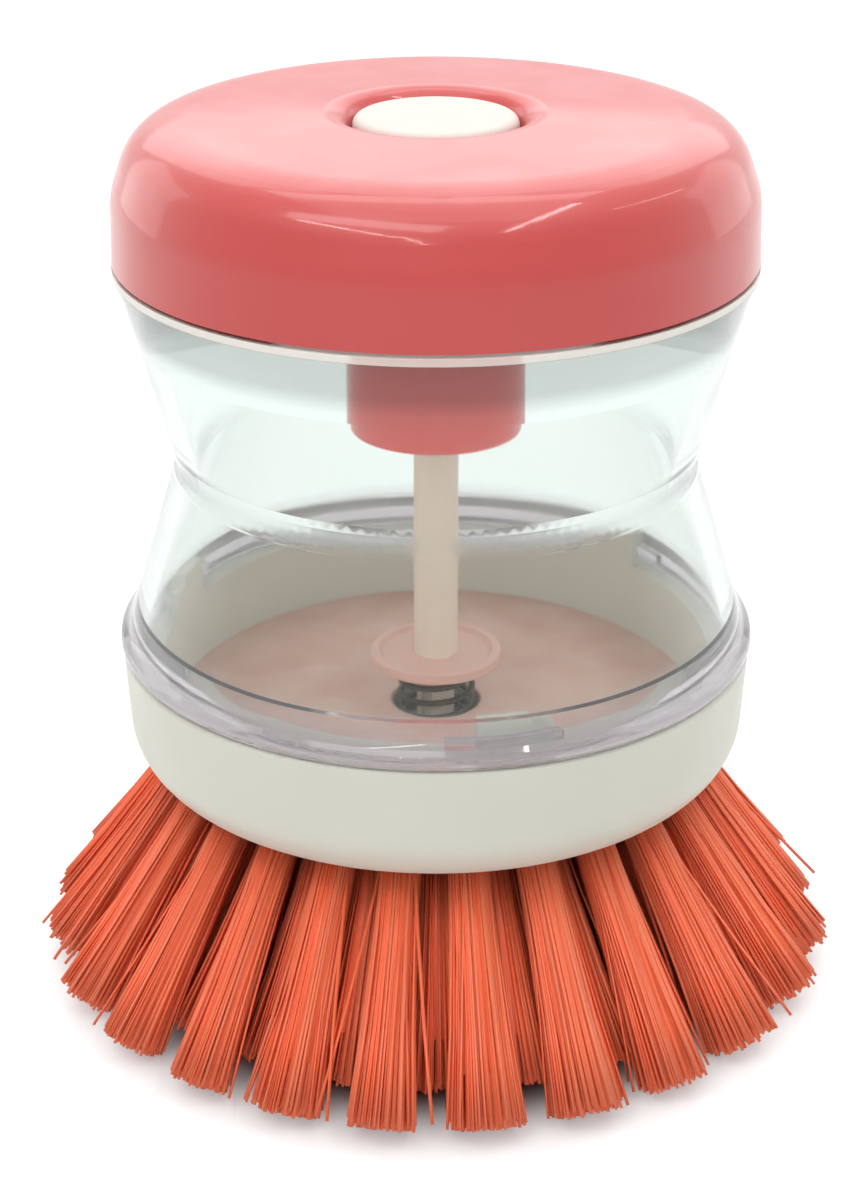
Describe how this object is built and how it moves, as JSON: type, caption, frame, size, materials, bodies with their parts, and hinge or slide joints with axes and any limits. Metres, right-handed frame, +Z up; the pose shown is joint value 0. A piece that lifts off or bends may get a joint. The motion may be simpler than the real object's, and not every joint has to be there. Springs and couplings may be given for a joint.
{
  "type": "soap-dispensing dish brush",
  "caption": "Round palm dish brush: clear hourglass soap bottle, coral screw cap with a white push button, spring valve, white brush head and splayed coral bristles.",
  "frame": {"origin": "on the floor under the bristle tips, on the common axis of the cap, bottle and head", "axes": "+Z up along the axis of the push rod, -Y towards the viewer of the picture"},
  "size_m": [0.092, 0.092, 0.1007],
  "materials": {
    "coral_cap": "satin gloss",
    "white_button": "matte",
    "clear_bottle": "clear gloss",
    "natural_rod": "satin",
    "natural_cup": "satin",
    "spring_steel": "drawn wire",
    "white_head": "satin",
    "coral_bristle": "nylon filament",
    "silicone": "matte",
    "staple_wire": "flat wire"
  },
  "bodies": {
    "head": {"brush_plate": "white_head", "head_bowl": "white_head", "head_gasket": "silicone", "return_spring": "spring_steel", "tuft_staples": "staple_wire", "inner_tuft_01": "coral_bristle", "inner_tuft_02": "coral_bristle", "inner_tuft_03": "coral_bristle", "inner_tuft_04": "coral_bristle", "inner_tuft_05": "coral_bristle", "inner_tuft_06": "coral_bristle", "inner_tuft_07": "coral_bristle", "inner_tuft_08": "coral_bristle", "inner_tuft_09": "coral_bristle", "inner_tuft_10": "coral_bristle", "inner_tuft_11": "coral_bristle", "inner_tuft_12": "coral_bristle", "outer_tuft_01": "coral_bristle", "outer_tuft_02": "coral_bristle", "outer_tuft_03": "coral_bristle", "outer_tuft_04": "coral_bristle", "outer_tuft_05": "coral_bristle", "outer_tuft_06": "coral_bristle", "outer_tuft_07": "coral_bristle", "outer_tuft_08": "coral_bristle", "outer_tuft_09": "coral_bristle", "outer_tuft_10": "coral_bristle", "outer_tuft_11": "coral_bristle", "outer_tuft_12": "coral_bristle", "outer_tuft_13": "coral_bristle", "outer_tuft_14": "coral_bristle", "outer_tuft_15": "coral_bristle", "outer_tuft_16": "coral_bristle", "outer_tuft_17": "coral_bristle", "outer_tuft_18": "coral_bristle", "outer_tuft_19": "coral_bristle", "outer_tuft_20": "coral_bristle", "outer_tuft_21": "coral_bristle", "outer_tuft_22": "coral_bristle", "outer_tuft_23": "coral_bristle", "outer_tuft_24": "coral_bristle", "middle_tufts": "coral_bristle"},
    "bottle": {"bottle": "clear_bottle"},
    "gasket": {"cap_gasket": "silicone"},
    "cap": {"cap": "coral_cap"},
    "button": {"button": "white_button"},
    "stem": {"push_rod": "natural_rod", "spring_cup": "natural_cup", "valve_seal": "silicone"}
  },
  "joints": [
    {"name": "bottle_twist", "type": "hinge", "parent": "head", "child": "bottle", "pos_m": [0, 0, 0.0402], "axis": [0, 0, 1], "range_deg": [0, 30]},
    {"name": "cap_lift", "type": "slide", "parent": "bottle", "child": "gasket", "axis": [0, 0, 1], "range_m": [0, 0.00801]},
    {"name": "cap_turn", "type": "hinge", "parent": "gasket", "child": "cap", "pos_m": [0, 0, 0.0854], "axis": [0, 0, 1], "range_deg": [0, 720]},
    {"name": "button_press", "type": "slide", "parent": "cap", "child": "button", "axis": [0, 0, -1], "range_m": [0, 0.004], "stiffness_N_per_m": 400, "springref_m": -0.004},
    {"name": "stem_press", "type": "slide", "parent": "head", "child": "stem", "axis": [0, 0, -1], "range_m": [0, 0.004], "deforming": ["return_spring"]}
  ],
  "couplings": [
    {"joint": "cap_lift", "follows": "cap_turn", "m_per_rad": 0.00063662},
    {"joint": "stem_press", "follows": "button_press", "ratio": 1}
  ]
}
